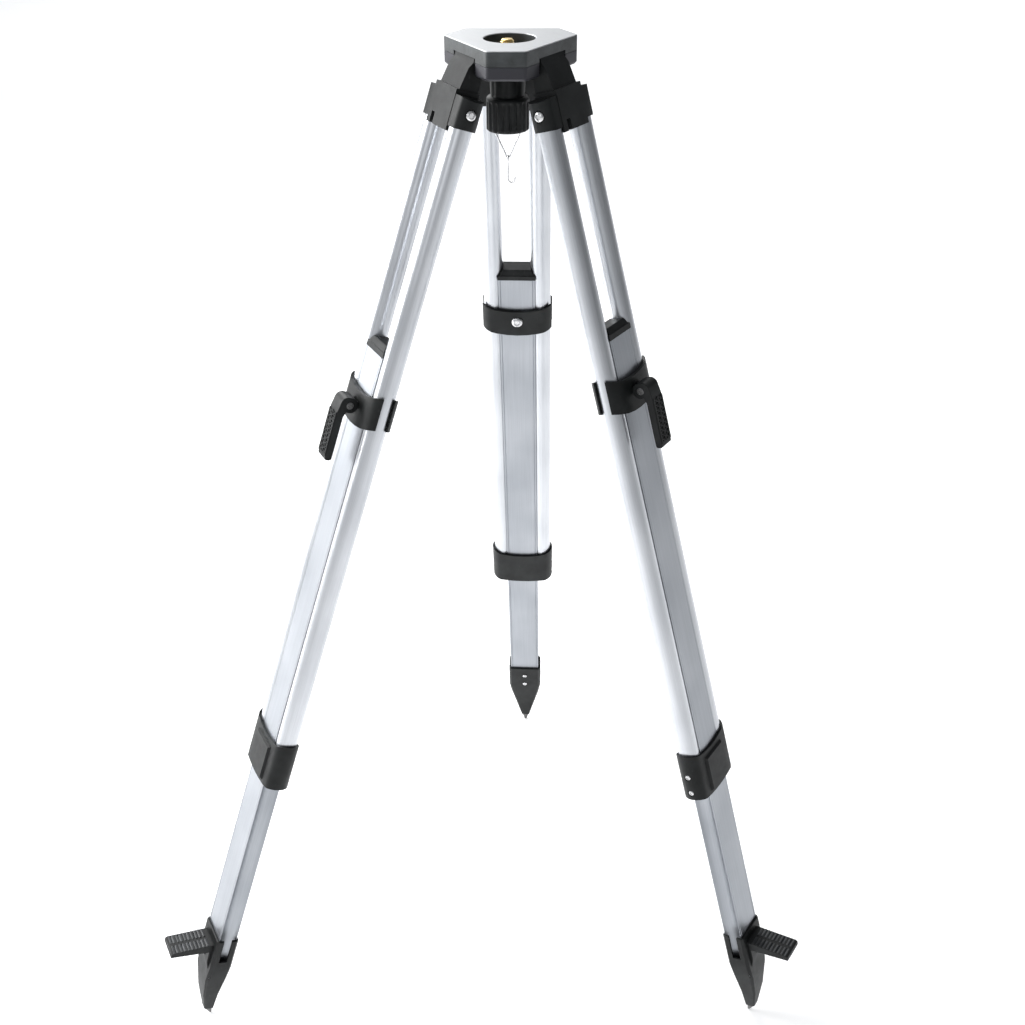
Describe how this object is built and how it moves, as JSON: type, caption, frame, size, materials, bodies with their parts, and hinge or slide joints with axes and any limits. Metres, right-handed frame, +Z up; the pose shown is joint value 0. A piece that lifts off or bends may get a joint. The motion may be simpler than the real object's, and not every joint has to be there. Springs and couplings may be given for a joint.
{
  "type": "surveyor tripod",
  "caption": "Telescopic surveying tripod with a flat triangular head, a central fixing screw with knob and plumb hook, twin-tube legs, cam-lever clamps and spiked feet with tread pedals.",
  "frame": {"origin": "on the ground, under the middle of the bounding box; the three steel tips stand on z = 0", "axes": "+Z up; the rear leg spreads toward +Y and the two front legs toward -Y, so the head's short front side faces -Y"},
  "size_m": [0.9148, 0.8045, 1.362],
  "materials": {
    "machined_aluminium": "milled flat, bright",
    "anodised_aluminium": "satin anodised",
    "painted_casting": "semi-gloss dark paint",
    "black_plastic": "moulded, fine grain",
    "zinc_steel": "zinc plated",
    "brass": "turned"
  },
  "bodies": {
    "head": {"head_plate": "machined_aluminium", "counter_plate": "painted_casting", "left_hinge_pin": "zinc_steel", "right_hinge_pin": "zinc_steel", "rear_hinge_pin": "zinc_steel"},
    "screw": {"fixing_screw": "brass", "fixing_knob": "black_plastic"},
    "bail": {"plumb_bail": "zinc_steel"},
    "hook": {"plumb_hook": "zinc_steel"},
    "left_upper_leg": {"left_leg_fitting": "black_plastic", "left_fitting_bolt": "zinc_steel", "left_tube_a": "anodised_aluminium", "left_tube_b": "anodised_aluminium", "left_lower_collar": "black_plastic", "left_collar_screw_upper": "zinc_steel", "left_collar_screw_lower": "zinc_steel"},
    "left_inner_leg": {"left_inner_profile": "anodised_aluminium", "left_end_cap": "black_plastic", "left_clamp_outer": "black_plastic", "left_clamp_inner": "black_plastic", "left_clamp_bolt": "zinc_steel", "left_foot_shoe": "black_plastic", "left_foot_tip": "zinc_steel", "left_foot_screw_upper": "zinc_steel", "left_foot_screw_lower": "zinc_steel"},
    "left_lever": {"left_clamp_lever": "black_plastic"},
    "right_upper_leg": {"right_leg_fitting": "black_plastic", "right_fitting_bolt": "zinc_steel", "right_tube_a": "anodised_aluminium", "right_tube_b": "anodised_aluminium", "right_lower_collar": "black_plastic", "right_collar_screw_upper": "zinc_steel", "right_collar_screw_lower": "zinc_steel"},
    "right_inner_leg": {"right_inner_profile": "anodised_aluminium", "right_end_cap": "black_plastic", "right_clamp_outer": "black_plastic", "right_clamp_inner": "black_plastic", "right_clamp_bolt": "zinc_steel", "right_foot_shoe": "black_plastic", "right_foot_tip": "zinc_steel", "right_foot_screw_upper": "zinc_steel", "right_foot_screw_lower": "zinc_steel"},
    "right_lever": {"right_clamp_lever": "black_plastic"},
    "rear_upper_leg": {"rear_leg_fitting": "black_plastic", "rear_fitting_bolt": "zinc_steel", "rear_tube_a": "anodised_aluminium", "rear_tube_b": "anodised_aluminium", "rear_lower_collar": "black_plastic", "rear_collar_screw_upper": "zinc_steel", "rear_collar_screw_lower": "zinc_steel"},
    "rear_inner_leg": {"rear_inner_profile": "anodised_aluminium", "rear_end_cap": "black_plastic", "rear_clamp_outer": "black_plastic", "rear_clamp_inner": "black_plastic", "rear_clamp_bolt": "zinc_steel", "rear_foot_shoe": "black_plastic", "rear_foot_tip": "zinc_steel", "rear_foot_screw_upper": "zinc_steel", "rear_foot_screw_lower": "zinc_steel"},
    "rear_lever": {"rear_clamp_lever": "black_plastic"}
  },
  "joints": [
    {"name": "screw_turn", "type": "hinge", "parent": "head", "child": "screw", "pos_m": [0.03879, -0.10899, 1.345], "axis": [0, 0, 1], "continuous": true},
    {"name": "bail_swing", "type": "hinge", "parent": "screw", "child": "bail", "pos_m": [0.03879, -0.10899, 1.2615], "axis": [1, 0, 0], "range_deg": [-35, 35]},
    {"name": "hook_swing", "type": "hinge", "parent": "bail", "child": "hook", "pos_m": [0.03879, -0.10899, 1.2255], "axis": [1, 0, 0], "range_deg": [-50, 50]},
    {"name": "left_splay", "type": "hinge", "parent": "head", "child": "left_upper_leg", "pos_m": [-0.00201, -0.13399, 1.345], "axis": [-0.5, 0.866, 0], "range_deg": [-18.7, 14.3]},
    {"name": "left_extension", "type": "slide", "parent": "left_upper_leg", "child": "left_inner_leg", "axis": [-0.2919, -0.1685, -0.9415], "range_m": [-0.258, 0.437]},
    {"name": "left_lever_turn", "type": "hinge", "parent": "left_inner_leg", "child": "left_lever", "pos_m": [-0.15618, -0.223, 0.95372], "axis": [-0.5, 0.866, 0], "range_deg": [0, 95]},
    {"name": "right_splay", "type": "hinge", "parent": "head", "child": "right_upper_leg", "pos_m": [0.08459, -0.13399, 1.345], "axis": [-0.5, -0.866, 0], "range_deg": [-14.9, 18.1]},
    {"name": "right_extension", "type": "slide", "parent": "right_upper_leg", "child": "right_inner_leg", "axis": [0.2373, -0.137, -0.9617], "range_m": [-0.229, 0.466]},
    {"name": "right_lever_turn", "type": "hinge", "parent": "right_inner_leg", "child": "right_lever", "pos_m": [0.20905, -0.20585, 0.97081], "axis": [-0.5, -0.866, 0], "range_deg": [0, 95]},
    {"name": "rear_splay", "type": "hinge", "parent": "head", "child": "rear_upper_leg", "pos_m": [0.04129, -0.05899, 1.345], "axis": [1, 0, 0], "range_deg": [-16.4, 16.6]},
    {"name": "rear_extension", "type": "slide", "parent": "rear_upper_leg", "child": "rear_inner_leg", "axis": [0, 0.299, -0.9542], "range_m": [-0.239, 0.455]},
    {"name": "rear_lever_turn", "type": "hinge", "parent": "rear_inner_leg", "child": "rear_lever", "pos_m": [0.04129, 0.09764, 0.96457], "axis": [1, 0, 0], "range_deg": [0, 95]}
  ]
}
